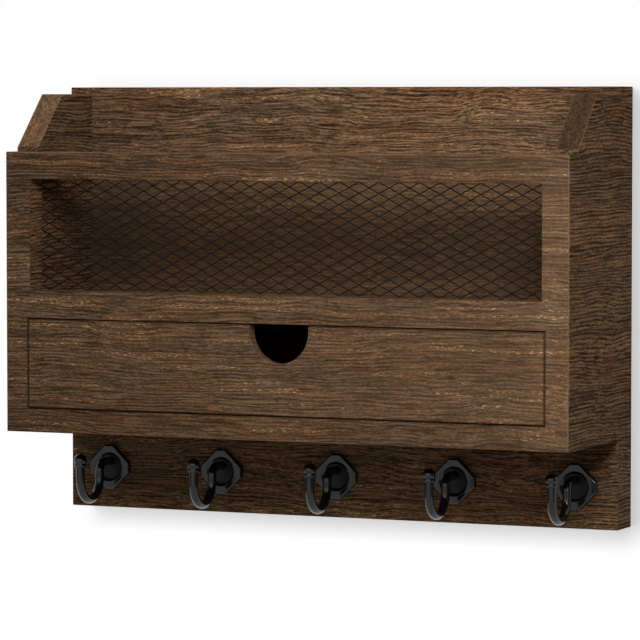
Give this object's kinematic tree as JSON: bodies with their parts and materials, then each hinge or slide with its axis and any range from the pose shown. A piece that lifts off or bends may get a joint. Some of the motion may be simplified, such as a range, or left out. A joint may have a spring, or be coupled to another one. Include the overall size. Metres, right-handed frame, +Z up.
{
  "type": "wall mail organizer",
  "caption": "Wooden wall organizer with an open-topped mail compartment behind diamond mesh, a sliding drawer with a finger notch, and a strip of J hooks for keys.",
  "frame": {"origin": "centre of the back board's rear face, on the wall plane", "axes": "+X along the board to the right as seen from the front, +Y into the wall, +Z up"},
  "size_m": [0.38, 0.115, 0.275],
  "materials": {
    "walnut_face": "dark walnut stain, matt, fine horizontal grain",
    "walnut_side": "dark walnut stain, matt",
    "walnut_back": "dark walnut stain, matt",
    "drawer_wood": "dark walnut stain, matt",
    "dowel_beech": "bare",
    "hook_black": "satin black",
    "mesh_black": "satin black",
    "zinc_steel": "zinc plated"
  },
  "bodies": {
    "organizer": {"back_board": "walnut_back", "left_side": "walnut_side", "right_side": "walnut_side", "face_board": "walnut_face", "compartment_floor": "walnut_side", "bottom_board": "walnut_side", "wire_mesh": "mesh_black", "mesh_staples": "zinc_steel", "face_dowels": "dowel_beech", "board_screws": "zinc_steel", "left_hanger": "zinc_steel", "right_hanger": "zinc_steel", "hanger_screws": "zinc_steel", "hook_plate_1": "hook_black", "hook_plate_2": "hook_black", "hook_plate_3": "hook_black", "hook_plate_4": "hook_black", "hook_plate_5": "hook_black", "hook_1": "hook_black", "hook_2": "hook_black", "hook_3": "hook_black", "hook_4": "hook_black", "hook_5": "hook_black"},
    "drawer": {"drawer_front": "walnut_face", "drawer_left_side": "drawer_wood", "drawer_right_side": "drawer_wood", "drawer_back": "drawer_wood", "drawer_bottom": "drawer_wood", "drawer_nails": "zinc_steel"}
  },
  "joints": [
    {"name": "drawer_slide", "type": "slide", "parent": "organizer", "child": "drawer", "axis": [0, -1, 0], "range_m": [0, 0.065]}
  ]
}
